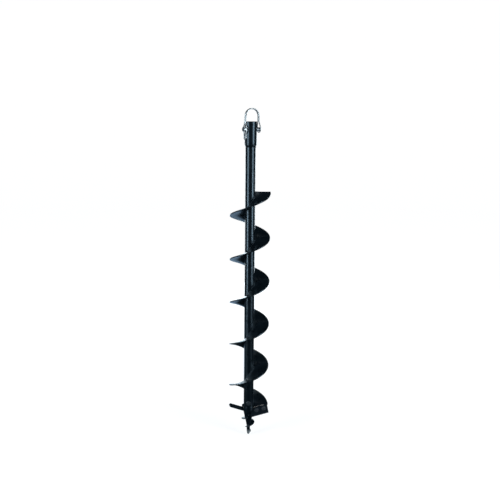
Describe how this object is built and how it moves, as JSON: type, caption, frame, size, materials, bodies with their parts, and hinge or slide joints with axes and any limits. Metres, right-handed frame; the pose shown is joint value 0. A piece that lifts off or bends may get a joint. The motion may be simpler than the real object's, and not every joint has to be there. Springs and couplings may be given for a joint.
{
  "type": "ice fishing auger bit",
  "caption": "Drill bit for a powered ice auger: drive socket with lock pin and wire bail, tube with right-hand flighting, bladed cutting head and screw point.",
  "frame": {"origin": "centre of the mouth of the drive socket", "axes": "+Z out of the socket's mouth along the bit, away from the tip; X along the lock pin, its head on -X; Y completes a right-handed frame"},
  "size_m": [0.1, 0.1, 0.8311],
  "materials": {
    "black_paint": "semi-gloss black paint",
    "blade_paint": "thin black paint with a bare ground edge",
    "point_steel": "black paint worn to grey metal at the tip",
    "dark_fasteners": "dark oxide",
    "plated_pin": "zinc plated",
    "spring_wire": "zinc plated spring wire"
  },
  "bodies": {
    "root": {"drive_socket": "black_paint", "main_tube": "black_paint", "flight_section_1": "black_paint", "flight_section_2": "black_paint", "flight_section_3": "black_paint", "flight_section_4": "black_paint", "flight_section_5": "black_paint", "flight_end_web": "black_paint", "blade_hub": "black_paint", "hub_bolt": "dark_fasteners", "hub_bolt_nut": "dark_fasteners", "left_heel_lug": "black_paint", "pilot_point": "point_steel", "pilot_pin": "dark_fasteners", "left_blade": "blade_paint", "left_blade_seat": "black_paint", "left_blade_screws": "dark_fasteners", "right_blade": "blade_paint", "right_blade_seat": "black_paint", "right_blade_screws": "dark_fasteners"},
    "lock_pin": {"lock_pin": "plated_pin"},
    "bail": {"bail": "spring_wire"}
  },
  "joints": [
    {"name": "pin_slide", "type": "slide", "parent": "root", "child": "lock_pin", "axis": [-1, 0, 0], "range_m": [0, 0.055]},
    {"name": "bail_swing", "type": "hinge", "parent": "root", "child": "bail", "pos_m": [0, 0, -0.0185], "axis": [1, 0, 0], "range_deg": [-150, 150]}
  ]
}
